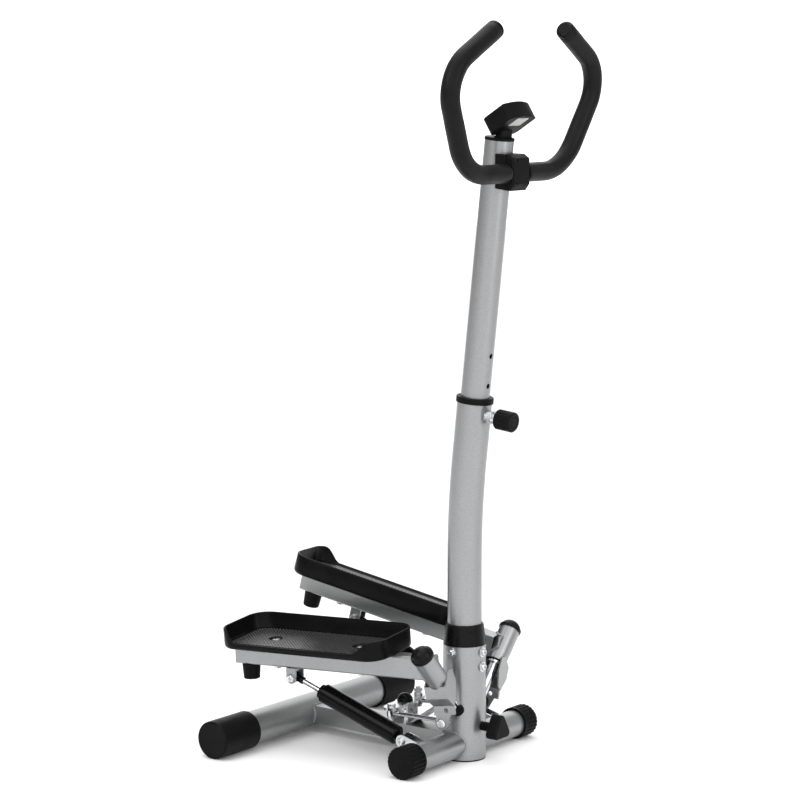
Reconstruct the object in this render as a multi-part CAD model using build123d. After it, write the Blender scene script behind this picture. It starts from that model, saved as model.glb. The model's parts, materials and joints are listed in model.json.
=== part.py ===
from build123d import *
import os
from math import atan2, asin, cos, degrees, hypot, radians, sin, tan

# Twist stepper with a height-adjustable mast, a U handlebar and a small console.
# Millimetres. +Z is up, the mast stands at the front (-Y), the user faces -Y, so the user's right is -X.
# Everything is laid out from the foot of the mast post and moved once, at export, so that the
# origin ends up on the floor under the middle of the overall box.

os.makedirs("parts", exist_ok=True)

# ---------------------------------------------------------------- placing
post_y = -121.4          # where the post axis stands once the object is centred

# ---------------------------------------------------------------- base frame
rear_y = 346.7           # rear cross tube axis, behind the post
rear_tube_d = 60.0
rear_half = 277.0        # half of the overall width, over the rear caps
rear_cap_d = 67.4
rear_cap_len = 95.0
front_tube_d = 48.0
front_half = 188.0
front_cap_d = 57.0
front_cap_len = 38.0
cap_wall = 6.0
front_cap_ribs = 24
rib_depth = 2.0
spine_w = 50.0
spine_h = 32.0
wall = 2.0

post_d = 75.0
post_bottom = 2.5
post_top = 204.0
collar_top = 241.0
collar_top_d = 66.4

# ---------------------------------------------------------------- mast
mast_d = 60.0
mast_wall = 1.6
mast_bend_start = 350.0
mast_bend_end = 533.1
mast_foot = 95.0         # lower end of the mast, inside the post
mast_lean = 6.47         # forward lean above the bend, degrees
mast_joint_z = 631.0     # where the lower mast ends and the bushing flange sits
bushing_d = 65.0
bushing_flange = 10.0
upper_d = 50.0
upper_wall = 1.5
upper_top_z = 1081.0
upper_insert = 90.0      # length of upper mast kept inside the lower one
hole_d = 9.0
hole_pitch = 52.0
slide_play = 0.06        # radial running clearance
end_play = 0.3           # gap beside a turning piece

# ---------------------------------------------------------------- pull pin
pin_z = 611.0
pin_d = 10.0
pin_boss_d = 20.0
pin_boss_len = 21.0
pull_knob_d = 35.0
pull_knob_len = 33.0
pull_knob_gap = 22.0     # knob back face to mast surface
pin_nose_gap = 0.5       # nose stops this far short of the upper mast

# ---------------------------------------------------------------- handlebar
bar_y = -103.5
bar_z = 1026.0
bar_lean = 7.7
bar_tube_d = 22.0
grip_d = 33.0
grip_start = 27.0        # where the foam starts, from the middle
bar_flat = 89.0          # straight half length across the clamp
bar_low_r = 90.8
bar_high_r = 64.5
bar_reach = 209.6        # outermost centreline point
bar_reach_up = 141.9
bar_tip_x = 105.4
bar_tip_up = 239.6
clamp_w = 51.0
clamp_h = 62.0
clamp_front = -118.5

# ---------------------------------------------------------------- console
console_slope = 32.0     # the face tips down towards the user
console_w = 76.0
console_len = 60.0
console_t = 30.0
console_mid = (-86.5, 1131.0)   # y and z of the middle of the upper face
screen_w = 52.0
screen_len = 26.0

# ---------------------------------------------------------------- arms
axle_tilt = 41.5         # outward tilt of each arm axle from vertical
axle_top = (-133.5, -5.3, 207.9)
axle_d = 20.0
sleeve_d = 38.0
sleeve_len = 70.5
bush_flange = 2.0
dome_d = 41.0
step_swing = 24.2        # arm travel from one stop to the other, degrees
bolt_span = 176.0
arm_mid = (-124.65, 226.2, 143.6)     # between the two pedal bolts of the right arm
arm_rear_dir = (-0.1097, 0.9932, -0.0386)
arm_out_dir = (-0.9940, -0.1097, 0.0)
arm_w = 32.0
arm_h = 40.0
arm_bottom = 6.5
arm_rear = 167.0
arm_front = -222.0
foot_d_top = 33.0
foot_d_low = 29.0
foot_s = 144.0
foot_low = -21.5
clevis_s = 50.0
clevis_w = 2.0
clevis_h = -11.7
clevis_gap = 21.0
clevis_plate = 3.0
clevis_r = 10.0

tray_rear = 173.0
tray_front = -165.0
tray_in = -71.0
tray_out = 65.0
tray_base = 46.0
tray_top = 82.0
tray_floor = 54.0
tray_lip = 57.5
tray_wall = 4.0
tray_r = 35.0
tray_roll = -4.2
tray_yaw = -0.9

# ---------------------------------------------------------------- steering of the two arms
# the lever, rocker and tie rods are laid out with both pedals level, then turned to rest
lever_tip = (-74.5, 2.4, 77.9)
lever_top_y = -8.0
lever_w = 28.0
lever_t = 5.0
lever_box_w = 40.0
lever_eye_in = 10.5      # tie rod eye centre, inboard of the lever plate's middle
rocker_y = 130.8
rocker_z = 77.0
rocker_r = 50.0
rocker_t = 5.0
rocker_w = 28.0
rocker_turn = 0.686      # rocker turn per arm turn
tie_turn = -0.72         # tie rod turn on the rocker per arm turn
tie_d = 8.0
tie_eye_d = 17.0
tie_eye_z = 78.2         # height of the tie rod eye at the lever
tie_eye_w = 9.0
tie_play = 2.0
dome_cap_d = 28.6
adjust_z = 61.4
adjust_knob_y = -60.0
adjust_knob_t = 22.0

# ---------------------------------------------------------------- cylinders
cyl_foot = (-113.0, 45.0, 47.0)
cyl_dir = (-0.07273, 0.93697, 0.34175)
cyl_eye_len = 245.17     # rod eye centre from the foot pivot at rest, right side
cyl_turn_axis = (-0.57962, -0.01809, 0.81469)
cyl_turn = 1.054         # cylinder turn per arm turn
cyl_stroke = -0.09892    # metres of rod travel per radian of arm turn
cyl_body_d = 34.0
cyl_bore_d = 28.0
cyl_body_from = 16.0
cyl_body_to = 181.0
rod_d = 9.0
rod_len = 205.0
eye_d = 19.0
eye_w = 14.0
foot_eye_w = 12.0
pivot_bolt_d = 8.0
eye_play = 2.0           # radial room round the bolt: the ball seats of the rod ends are left open
foot_eye_play = 1.5
foot_ear_gap = 20.0
foot_ear_r = 11.4
foot_ear_t = 3.0

# ---------------------------------------------------------------- helpers
stand = (Align.CENTER, Align.CENTER, Align.MIN)
hang = (Align.CENTER, Align.CENTER, Align.MAX)
mirror_x = Plane.YZ
parts = {}


def add(name, shape):
    parts[name] = shape


def rod(start, end, d):
    start = Vector(*start)
    span = Vector(*end) - start
    return Plane(origin=start, z_dir=span) * Cylinder(d / 2, span.length, align=stand)


def pipe(start, end, d, bore):
    return rod(start, end, d) - rod(start, end, bore)


def prism(points, half_width):
    # outline in (y, z), thickness along x, centred on the middle plane
    outline = Plane.YZ * make_face(Polyline(*points, close=True))
    return extrude(outline, half_width, both=True)


def group(shapes):
    return Compound([solid for shape in shapes for solid in shape.solids()])


def along(start, direction, distance):
    d = Vector(*direction).normalized()
    return tuple(Vector(*start) + d * distance)


def pair(shape):
    # the right-hand piece and its mirror image, as separate solids
    return [shape, mirror(shape, about=mirror_x)]


def both_sides(name, shape):
    add(name, group(pair(shape)))


def hex_nut(d, height, hole):
    across = RegularPolygon(radius=d / 2, side_count=6)
    return extrude(across, height) - Cylinder(hole / 2, height, align=stand)


def pan_head(d, height, shank_d, shank):
    # screw with a low domed head and a cross recess; the head's seat is at z = 0
    head = Cylinder(d / 2, height, align=stand)
    head = fillet(head.edges().sort_by(Axis.Z)[-1], height * 0.45)
    cross = Box(d * 0.5, d * 0.12, height) + Box(d * 0.12, d * 0.5, height)
    body = head - Pos(0, 0, height) * cross
    return body + Cylinder(shank_d / 2, shank, align=hang)


def washer(d, bore, t):
    return Cylinder(d / 2, t, align=stand) - Cylinder(bore / 2, t, align=stand)


# ---------------------------------------------------------------- base frame pieces
rear_z = rear_cap_d / 2
rear_tube_half = rear_half - cap_wall
rear_tube = pipe((-rear_tube_half, rear_y, rear_z), (rear_tube_half, rear_y, rear_z),
                 rear_tube_d, rear_tube_d - 2 * wall)
add("rear_cross_tube", rear_tube)

rear_cap = rod((-rear_half, rear_y, rear_z), (-rear_half + rear_cap_len, rear_y, rear_z), rear_cap_d)
rear_cap = fillet(rear_cap.edges().group_by(Axis.X)[0], 4)
rear_cap = fillet(rear_cap.edges().group_by(Axis.X)[-1], 1)
rear_cap -= rod((-rear_tube_half, rear_y, rear_z), (0, rear_y, rear_z), rear_tube_d)
both_sides("rear_caps", rear_cap)

front_z = front_cap_d / 2
front_tube_half = front_half - cap_wall
post_solid = rod((0, 0, post_bottom), (0, 0, post_top), post_d)
front_tube = pipe((-front_tube_half, 0, front_z), (0, 0, front_z), front_tube_d, front_tube_d - 2 * wall)
both_sides("front_tubes", front_tube - post_solid)

rib_r = 2.4
front_cap = rod((-front_half, 0, front_z), (-front_half + front_cap_len, 0, front_z), front_cap_d)
front_cap = fillet(front_cap.edges().group_by(Axis.X)[0], 3)
front_cap -= rod((-front_tube_half, 0, front_z), (0, 0, front_z), front_tube_d)
groove_turn = 360 / front_cap_ribs
groove = Pos(0, 0, rib_depth - rib_r - front_cap_d / 2) * Rot(0, 90, 0) * Cylinder(
    rib_r, front_cap_len - 3, align=stand)
for i in range(front_cap_ribs):
    front_cap -= Pos(-front_half - 1, 0, front_z) * Rot((i + 0.5) * groove_turn, 0, 0) * groove
both_sides("front_caps", front_cap)

# the spine runs from the rear cross tube to the post, joining both tube axes
spine_run = Vector(0, rear_y, rear_z - front_z)
spine_plane = Plane(origin=(0, 0, front_z), x_dir=(1, 0, 0), z_dir=spine_run)
spine = spine_plane * (Box(spine_w, spine_h, spine_run.length, align=stand)
                       - Box(spine_w - 2 * wall, spine_h - 2 * wall, spine_run.length, align=stand))
spine -= rod((-rear_half, rear_y, rear_z), (rear_half, rear_y, rear_z), rear_tube_d)
add("spine_tube", spine - post_solid)

post = post_solid - rod((0, 0, post_bottom), (0, 0, post_top), post_d - 5)
add("post_tube", post)

plug = Cylinder(post_d / 2 - 1, post_bottom, align=stand)
plug += Cylinder(post_d / 2 - 2.5, 12, align=stand)
add("post_foot_plug", plug - Pos(0, 0, 5) * Cylinder(post_d / 2 - 8, 12, align=stand))

collar_h = collar_top - post_top
collar = Pos(0, 0, post_top) * Cone(post_d / 2 + 0.2, collar_top_d / 2, collar_h, align=stand)
collar = fillet(collar.edges().sort_by(Axis.Z)[-1], 1.5)
add("post_collar", collar - Pos(0, 0, post_top) * Cylinder(mast_d / 2, collar_h, align=stand))

# screws that hold the lower mast in the post: one on each side, two in front
screw_high = 193.0
screw_low = 167.0
screw_spots = [(-90, screw_high), (90, screw_high), (0, screw_high), (0, screw_low)]


def on_post(turn, height):
    # local +Z points out of the post; turn 0 is the front, -90 the right side
    normal = (sin(radians(turn)), -cos(radians(turn)), 0)
    radius = post_d / 2
    return Plane(origin=(normal[0] * radius, normal[1] * radius, height), x_dir=(0, 0, 1), z_dir=normal)


frame_fasteners = [on_post(*s) * Pos(0, 0, 1.6) * pan_head(12, 5, 7, 8) for s in screw_spots]
frame_fasteners += [on_post(*s) * washer(18, 7.2, 1.6) for s in screw_spots]
for s in screw_spots:
    parts["post_tube"] = parts["post_tube"] - on_post(*s) * Cylinder(3.6, 16)

# ---------------------------------------------------------------- mast pieces
lean = radians(mast_lean)
bend_r = (mast_bend_end - mast_bend_start) / sin(lean)
bend_mid = (0, -bend_r * (1 - cos(lean / 2)), mast_bend_start + bend_r * sin(lean / 2))
bend_end = (0, -bend_r * (1 - cos(lean)), mast_bend_end)
mast_dir = (0, -sin(lean), cos(lean))


def on_mast(z):
    # point of the leaning mast axis at this height
    return along(bend_end, mast_dir, (z - mast_bend_end) / cos(lean))


def mast_plane(z):
    # local +Z up the mast, local -Y out of its front
    return Plane(origin=on_mast(z), x_dir=(1, 0, 0), z_dir=mast_dir)


mast_path = Wire([
    Edge.make_line((0, 0, mast_foot), (0, 0, mast_bend_start)),
    Edge.make_three_point_arc((0, 0, mast_bend_start), bend_mid, bend_end),
    Edge.make_line(bend_end, on_mast(mast_joint_z)),
])
mast_section = Pos(0, 0, mast_foot) * (Circle(mast_d / 2) - Circle(mast_d / 2 - mast_wall))
lower_mast = sweep(mast_section, path=mast_path)

pin_plane = Plane(origin=on_mast(pin_z), x_dir=(1, 0, 0), z_dir=(0, -cos(lean), -sin(lean)))
boss_seat = mast_d / 2 - 3
boss = pin_plane * Pos(0, 0, boss_seat) * Cylinder(pin_boss_d / 2, pin_boss_len, align=stand)
mast_outside = rod(on_mast(mast_bend_end - 20), on_mast(mast_joint_z), mast_d)
boss_nut = pin_plane * Pos(0, 0, mast_d / 2 + 2) * extrude(RegularPolygon(12.5, 6), 9)
pin_bore = pin_plane * Cylinder(pin_d / 2 + slide_play, 2 * mast_d, align=stand)
add("pin_boss", boss + boss_nut - mast_outside - pin_bore)

mast_bore_d = mast_d - 2 * mast_wall
bushing_len = 60.0
joint_plane = mast_plane(mast_joint_z)
bushing = joint_plane * Cylinder(bushing_d / 2, bushing_flange, align=stand)
bushing = fillet(bushing.edges().sort_by(Axis.Z)[-1], 2)
bushing += joint_plane * Cylinder(mast_bore_d / 2, bushing_len, align=hang)
bushing -= joint_plane * Cylinder(upper_d / 2 + slide_play, 3 * bushing_len)
bushing -= pin_bore
add("mast_bushing", bushing)

add("lower_mast", lower_mast - pin_bore)

upper_bottom_z = mast_joint_z - upper_insert * cos(lean)
upper_tube = pipe(on_mast(upper_bottom_z), on_mast(upper_top_z), upper_d, upper_d - 2 * upper_wall)
for i in range(3):
    hole_plane = Plane(origin=on_mast(pin_z + i * hole_pitch), x_dir=(1, 0, 0), z_dir=pin_plane.z_dir)
    upper_tube -= hole_plane * Cylinder(hole_d / 2, mast_d / 2, align=stand)
add("upper_mast", upper_tube)

end_plane = mast_plane(upper_top_z)
end_cap = end_plane * Cylinder(upper_d / 2 + 0.6, 5, align=stand)
end_cap = fillet(end_cap.edges().sort_by(Axis.Z)[-1], 1.5)
end_cap += end_plane * Cylinder(upper_d / 2 - upper_wall, 15, align=hang)

# pull pin: nose, shaft, knurled knob
pin_nose = upper_d / 2 + pin_nose_gap
knob_back = mast_d / 2 + pull_knob_gap
pin = pin_plane * Pos(0, 0, pin_nose) * Cylinder(pin_d / 2, knob_back + 12 - pin_nose, align=stand)
add("pull_pin", pin)
pull_knob = Cylinder(pull_knob_d / 2, pull_knob_len, align=stand)
pull_knob = fillet(pull_knob.edges().sort_by(Axis.Z)[-1], 3)
pull_knob = fillet(pull_knob.edges().sort_by(Axis.Z)[0], 1.5)
flute = Pos(pull_knob_d / 2 + 1.2, 0, 0) * Cylinder(2.4, pull_knob_len - 8, align=stand)
for i in range(14):
    pull_knob -= Rot(0, 0, i * 360 / 14) * flute
pull_knob -= Pos(0, 0, pull_knob_len) * (Cylinder(10.5, 2) - Cylinder(9.3, 2))
add("pull_knob", pin_plane * Pos(0, 0, knob_back) * pull_knob - pin)

# ---------------------------------------------------------------- handlebar pieces
def bar_point(x, up):
    return (x, bar_y - up * sin(radians(bar_lean)), bar_z + up * cos(radians(bar_lean)))


high_x = bar_reach - bar_high_r
rise_dx = high_x - bar_flat
rise_dz = bar_reach_up - bar_low_r
low_turn = atan2(rise_dz, rise_dx) + asin((bar_low_r - bar_high_r) / hypot(rise_dx, rise_dz))
tip_dx = bar_tip_x - high_x
tip_dz = bar_tip_up - bar_reach_up
high_turn = asin(bar_high_r / hypot(tip_dx, tip_dz)) - atan2(tip_dx, tip_dz)


def low_arc(turn, side):
    return bar_point(side * (bar_flat + bar_low_r * sin(turn)), bar_low_r * (1 - cos(turn)))


def high_arc(turn, side):
    return bar_point(side * (high_x + bar_high_r * cos(turn)), bar_reach_up + bar_high_r * sin(turn))


def half_path(start_x, side):
    first = low_turn - radians(90)
    return [
        Edge.make_line(bar_point(side * start_x, 0), low_arc(0, side)),
        Edge.make_three_point_arc(low_arc(0, side), low_arc(low_turn / 2, side), low_arc(low_turn, side)),
        Edge.make_line(low_arc(low_turn, side), high_arc(first, side)),
        Edge.make_three_point_arc(high_arc(first, side), high_arc((first + high_turn) / 2, side),
                                  high_arc(high_turn, side)),
        Edge.make_line(high_arc(high_turn, side), bar_point(side * bar_tip_x, bar_tip_up)),
    ]


def bar_section(start_x, side):
    return Plane(origin=bar_point(side * start_x, 0), z_dir=(side, 0, 0))


half_tubes = []
for side in (-1, 1):
    ring = Circle(bar_tube_d / 2) - Circle(bar_tube_d / 2 - wall)
    half_tubes.append(sweep(bar_section(0, side) * ring, path=Wire(half_path(0, side))))
add("handlebar_tube", half_tubes[0] + half_tubes[1])
foam_ring = Circle(grip_d / 2) - Circle(bar_tube_d / 2)
grip_path = Wire(half_path(grip_start, -1))
both_sides("foam_grips", sweep(bar_section(grip_start, -1) * foam_ring, path=grip_path))

tip = bar_point(-bar_tip_x, bar_tip_up)
tip_from = high_arc(high_turn, -1)
tip_dir = Vector(*tip) - Vector(*tip_from)
tip_plane = Plane(origin=tip, z_dir=tip_dir)
tip_plug = Cylinder(grip_d / 2 - 0.5, 8, align=stand)
tip_plug = fillet(tip_plug.edges().sort_by(Axis.Z)[-1], 6)
tip_plug += Cylinder(bar_tube_d / 2 - wall, 20, align=hang)
both_sides("grip_plugs", tip_plane * tip_plug)

# clamp: a rear saddle against the mast and a front shell round the bar, split at the bar's middle
clamp_z = 1027.5
clamp_back = on_mast(clamp_z)[1] - 15
clamp_low = clamp_z - clamp_h / 2
clamp_high = clamp_z + clamp_h / 2
clamp_body = prism([(clamp_front, clamp_z - 20), (clamp_front + 8, clamp_low),
                    (clamp_back, clamp_low + 4), (clamp_back, clamp_high),
                    (clamp_front + 10, clamp_high - 1), (clamp_front, clamp_z + 23)], clamp_w / 2)
clamp_body = fillet(clamp_body.edges().filter_by(Axis.X).group_by(Axis.Y)[0], 4)
clamp_body = chamfer(clamp_body.faces().sort_by(Axis.Y)[0].edges().filter_by(Axis.X, reverse=True), 3)
clamp_body -= rod(on_mast(clamp_low - 20), on_mast(clamp_high + 20), upper_d)
clamp_body -= rod((-grip_start, bar_y, bar_z), (grip_start, bar_y, bar_z), bar_tube_d)
split_half = Pos(0, bar_y, clamp_z) * Box(2 * clamp_w, 200, 2 * clamp_h, align=(
    Align.CENTER, Align.MIN, Align.CENTER))
clamp_gap = 1.0
clamp_screw_x = clamp_w / 2 - 9
clamp_screw_z = clamp_h / 2 - 9
clamp_screw = Rot(90, 0, 0) * pan_head(8, 3, 5, 24)
clamp_screws = []
for sx in (-1, 1):
    for sz in (-1, 1):
        seat = Pos(sx * clamp_screw_x, clamp_front + 3.5, clamp_z + sz * clamp_screw_z)
        clamp_body -= seat * Rot(90, 0, 0) * Cylinder(4.6, 20, align=stand)
        clamp_screws.append(seat * clamp_screw)
clamp_screws = group(clamp_screws)
add("clamp_rear", clamp_body & split_half - clamp_screws)
add("clamp_front", clamp_body - Pos(0, -clamp_gap, 0) * split_half - clamp_screws)
add("clamp_screws", clamp_screws)

# ---------------------------------------------------------------- console pieces
# console frame: local +Z out of the face, local +Y up the slope (away from the user), +X to the left
slope = radians(console_slope)
console_plane = Plane(origin=(0, console_mid[0], console_mid[1]), x_dir=(-1, 0, 0),
                      z_dir=(0, sin(slope), cos(slope)))
console_half_w = console_w / 2
console_half_l = console_len / 2
front_bulge = 8.0
console_outline = make_face(
    Polyline((-console_half_w, console_half_l - front_bulge), (-console_half_w, -console_half_l),
             (console_half_w, -console_half_l), (console_half_w, console_half_l - front_bulge))
    + ThreePointArc((console_half_w, console_half_l - front_bulge), (0, console_half_l),
                    (-console_half_w, console_half_l - front_bulge)))
shell_wall = 2.5
lid_t = 9.0
shell = extrude(console_outline, -console_t)
shell = fillet(shell.edges().filter_by(Axis.Z).group_by(Axis.Y)[0], 11)
shell = fillet(shell.edges().filter_by(Axis.Z).group_by(Axis.Y)[-1], 4)
shell = fillet(shell.edges().group_by(Axis.Z)[-1], 2)
cavity = Pos(0, 0, -shell_wall) * extrude(
    offset(console_outline, -shell_wall - 3), -console_t + 2 * shell_wall)
shell -= cavity
above_split = Pos(0, 0, -lid_t) * Box(2 * console_w, 2 * console_len, console_t, align=stand)
screen_mid = 8.0
window_frame = Pos(0, screen_mid, 0) * Box(screen_w, screen_len, 2 * shell_wall)
lens_seat = 1.6
lens_t = 1.0
screen_seat = Pos(0, screen_mid, 0) * Box(screen_w + 4, screen_len + 4, 2 * lens_seat)
button_mid = -15.0
button_d = 14.0
button_hole = Pos(0, button_mid, 0) * Cylinder(button_d / 2 + 0.3, 4 * shell_wall)
console_lid = (shell & above_split) - window_frame - screen_seat - button_hole
console_case = shell - above_split

door_w = 34.0
door_len = 24.0
door_mid = 11.0
door = Pos(0, door_mid, -console_t) * Box(door_w, door_len, 1.6, align=stand)
door = fillet(door.edges().filter_by(Axis.Z), 3)
latch = Pos(0, door_mid + door_len / 2 - 4, -console_t) * Box(10, 3, 0.8, align=stand)
door -= latch
console_case -= door + latch
add("console_case", console_plane * console_case)
add("console_lid", console_plane * console_lid)
add("battery_door", console_plane * door)
lens = Pos(0, screen_mid, -lens_seat) * Box(screen_w + 4, screen_len + 4, lens_t, align=stand)
add("screen_lens", console_plane * lens)
button_stop = 0.25
button_rise = 1.2
button = Pos(0, button_mid, button_rise) * Cylinder(
    button_d / 2, button_rise + shell_wall + button_stop, align=hang)
button = fillet(button.edges().sort_by(Axis.Z)[-1], 0.8)
button += Pos(0, button_mid, -shell_wall - button_stop) * Cylinder(button_d / 2 + 1.2, 1.2, align=hang)
add("mode_button", console_plane * button)

# end cap of the mast with the block that carries the case
bracket_w = 34.0
bracket_len = 30.0
cap_top = end_plane * Pos(0, 0, 5)
bracket = cap_top * Box(bracket_w, bracket_len, 60, align=stand)
bracket = fillet(bracket.edges().filter_by(Axis((0, 0, 0), mast_dir)), 4)
under_case = console_plane * Pos(0, 0, -console_t) * Box(300, 300, 200, align=hang)
add("mast_end_cap", end_cap + (bracket & under_case))

# ---------------------------------------------------------------- right arm
tilt = radians(axle_tilt)
axle_dir = (-sin(tilt), 0, cos(tilt))
axle_axis = Axis(axle_top, axle_dir)
arm_up_dir = Vector(*arm_rear_dir).cross(Vector(*arm_out_dir))
arm_plane = Plane(origin=arm_mid, x_dir=arm_rear_dir, z_dir=arm_up_dir)
sleeve_low = along(axle_top, axle_dir, -sleeve_len)
sleeve_outer = rod(sleeve_low, axle_top, sleeve_d)
sleeve_bore_d = axle_d + 5
arm_parts = {}

arm_len = arm_rear - arm_front
arm_tube = Pos(arm_front, 0, arm_bottom) * Box(arm_len, arm_w, arm_h, align=(
    Align.MIN, Align.CENTER, Align.MIN))
arm_tube = fillet(arm_tube.edges().filter_by(Axis.X), 4)
arm_bore = Pos(arm_front, 0, arm_bottom + wall) * Box(arm_len - wall, arm_w - 2 * wall, arm_h - 2 * wall,
                                                      align=(Align.MIN, Align.CENTER, Align.MIN))
arm_tube -= arm_bore
pedal_bolts = (-bolt_span / 2, bolt_span / 2)
for s in pedal_bolts:
    arm_tube -= Pos(s, 0, arm_bottom) * Cylinder(4.2, arm_h, align=stand)
arm_parts["arm_tube"] = arm_plane * arm_tube - rod(
    along(axle_top, axle_dir, -sleeve_len - 30), along(axle_top, axle_dir, 30), sleeve_d)

arm_parts["pivot_sleeve"] = sleeve_outer - rod(sleeve_low, axle_top, sleeve_bore_d)

# flanged plain bushes at both ends of the sleeve
bush_len = 14.0
bush = pipe((0, 0, -bush_flange), (0, 0, bush_len), sleeve_bore_d - 2 * slide_play, axle_d)
bush += Pos(0, 0, -bush_flange) * washer(sleeve_d - 6, axle_d, bush_flange - end_play)
low_end = Plane(origin=sleeve_low, x_dir=(0, 1, 0), z_dir=axle_dir)
top_end = Plane(origin=axle_top, x_dir=(0, 1, 0), z_dir=axle_dir)
bushes = [low_end * bush, top_end * Rot(180, 0, 0) * bush]
add("axle_bushes", group(pair(bushes[0]) + pair(bushes[1])))

# dome cap over the upper end; it hides the axle's washer and nut
dome_skirt = 5.0
dome_h = 14.0
dome_edge = 1.0          # step between the skirt and the dome
dome_wall = 2.5
dome_base_r = dome_d / 2 - dome_edge
dome_r = (dome_base_r ** 2 + dome_h ** 2) / (2 * dome_h)
dome_ball = Pos(0, 0, dome_h - dome_r)
dome = dome_ball * Sphere(dome_r) & Cylinder(dome_d, dome_h, align=stand)
dome += Cylinder(dome_d / 2, dome_skirt, align=hang)
dome -= Cylinder(sleeve_d / 2, 2 * dome_skirt, align=hang)
dome_bore_r = sleeve_d / 2 - dome_wall
dome -= dome_ball * Sphere(dome_r - dome_wall) & Cylinder(dome_bore_r, dome_h, align=stand)
dome -= Cylinder(dome_bore_r, bush_flange + 0.5, align=stand)
arm_parts["sleeve_cap"] = top_end * dome

# lever bracket: a bent strip with two cheeks, welded to the lower end of the sleeve
half_swing = step_swing / 2
sleeve_near = (-101.0, 146.0)
strip_line = [sleeve_near, (-97.0, 124.0), (-75.0 - lever_t / 2, 108.0), (-75.0 - lever_t / 2, 92.0)]
strip_back = [(x + lever_t, z + 1.0) for x, z in reversed(strip_line)]
strip_outline = make_face(Polyline(*strip_line, *strip_back, close=True))
strip = Pos(0, axle_top[1], 0) * extrude(Plane.XZ * strip_outline, lever_box_w / 2, both=True)
lever_face = Plane(origin=(lever_tip[0] - lever_t / 2 - 0.5, 0, 0), x_dir=(0, 1, 0), z_dir=(1, 0, 0))
lever_outline = make_hull(
    (Pos(lever_tip[1], lever_tip[2]) * Circle(lever_w * 0.43)).edges()
    + (Pos(lever_top_y, 108) * Rectangle(lever_w, 8)).edges())
lever_plate = extrude(lever_face * lever_outline, lever_t)
cheek_outline = make_face(Polyline((-101, 146), (-97, 124), (-77, 108), (-66, 118), (-60, 150), (-68, 172),
                                   (-80, 172), close=True))
cheek_in = sleeve_d / 2 - 1.0
cheek = extrude(Plane.XZ * cheek_outline, 1.5, both=True)
cheeks = [Pos(0, axle_top[1] + side * (cheek_in + 1.5), 0) * cheek for side in (-1, 1)]
lever = strip + lever_plate + cheeks[0] + cheeks[1]
lever -= rod(along(sleeve_low, axle_dir, -90), axle_top, axle_d + 8)
lever -= rod(along(sleeve_low, axle_dir, -9), along(sleeve_low, axle_dir, 0), sleeve_d)
lever -= sleeve_outer
tip_hole = rod((-120, lever_tip[1], lever_tip[2]), (-40, lever_tip[1], lever_tip[2]), pivot_bolt_d)
lever -= tip_hole
lever -= rod((-120, lever_top_y - 1, 100), (-40, lever_top_y - 1, 100), 8)
tip_seat = Plane(origin=(lever_tip[0] - lever_t / 2 - 0.5, lever_tip[1], lever_tip[2]), z_dir=(-1, 0, 0))
lever_bolt_len = lever_t + 2 * lever_eye_in
lever_bolt = tip_seat * (pan_head(16, 6, pivot_bolt_d, lever_bolt_len - 1))
nut_x = lever_tip[0] + lever_eye_in + tie_eye_w / 2 + 3
lever_nut = Plane(origin=(nut_x, lever_tip[1], lever_tip[2]), z_dir=(1, 0, 0)) * hex_nut(13, 4, pivot_bolt_d)
arm_block = arm_plane * Pos(arm_front, 0, arm_bottom) * Box(arm_len, arm_w, arm_h, align=(
    Align.MIN, Align.CENTER, Align.MIN))
arm_parts["lever_bracket"] = lever.rotate(axle_axis, half_swing) - arm_block
arm_fasteners = [lever_bolt.rotate(axle_axis, half_swing), lever_nut.rotate(axle_axis, half_swing)]

# clevis for the cylinder rod
clevis_ear = Cylinder(clevis_r, clevis_plate) + Pos(0, (arm_bottom - clevis_h) / 2, 0) * Box(
    2 * clevis_r, arm_bottom - clevis_h, clevis_plate)
clevis_at = arm_plane * Pos(clevis_s, clevis_w, clevis_h) * Rot(90, 0, 0)
ear_mid = clevis_gap / 2 + clevis_plate / 2
clevis = Pos(0, 0, ear_mid) * clevis_ear + Pos(0, 0, -ear_mid) * clevis_ear
clevis += Pos(0, arm_bottom - clevis_h - clevis_plate / 2, 0) * Box(
    2 * clevis_r, clevis_plate, clevis_gap + 2 * clevis_plate)
clevis -= Cylinder(pivot_bolt_d / 2, 80)
arm_parts["arm_tube"] = arm_parts["arm_tube"] + clevis_at * clevis
bolt_grip = clevis_gap + 2 * clevis_plate
clevis_bolt = Pos(0, 0, bolt_grip / 2) * pan_head(15, 5, pivot_bolt_d, bolt_grip + 5)
clevis_nut = Pos(0, 0, -bolt_grip / 2) * Rot(180, 0, 0) * hex_nut(14, 5, pivot_bolt_d)
arm_fasteners += [clevis_at * Rot(180, 0, 0) * clevis_bolt, clevis_at * Rot(180, 0, 0) * clevis_nut]

# rubber foot under the rear of the arm
foot_h = arm_bottom - foot_low
foot = Cone(foot_d_low / 2, foot_d_top / 2, foot_h, align=stand)
foot = fillet(foot.edges().sort_by(Axis.Z)[0], 2)
arm_parts["arm_foot"] = arm_plane * Pos(foot_s, 0, foot_low) * foot

# pedal tray
tray_len = tray_rear - tray_front
tray_w = tray_out - tray_in
tray_mid = Pos((tray_rear + tray_front) / 2, (tray_out + tray_in) / 2, 0)
tray_h = tray_top - tray_base
floor_t = 3.5


def tray_block(inset, low, high):
    face = RectangleRounded(tray_len - 2 * inset, tray_w - 2 * inset, tray_r - inset)
    return tray_mid * Pos(0, 0, low - tray_base) * extrude(face, high - low)


tray = tray_block(0, tray_base, tray_top)
tray = fillet(tray.edges().group_by(Axis.Z)[0], 5)
tray -= tray_block(tray_wall, tray_floor, tray_top)
tray -= tray_block(tray_wall, tray_base, tray_floor - floor_t)
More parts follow.
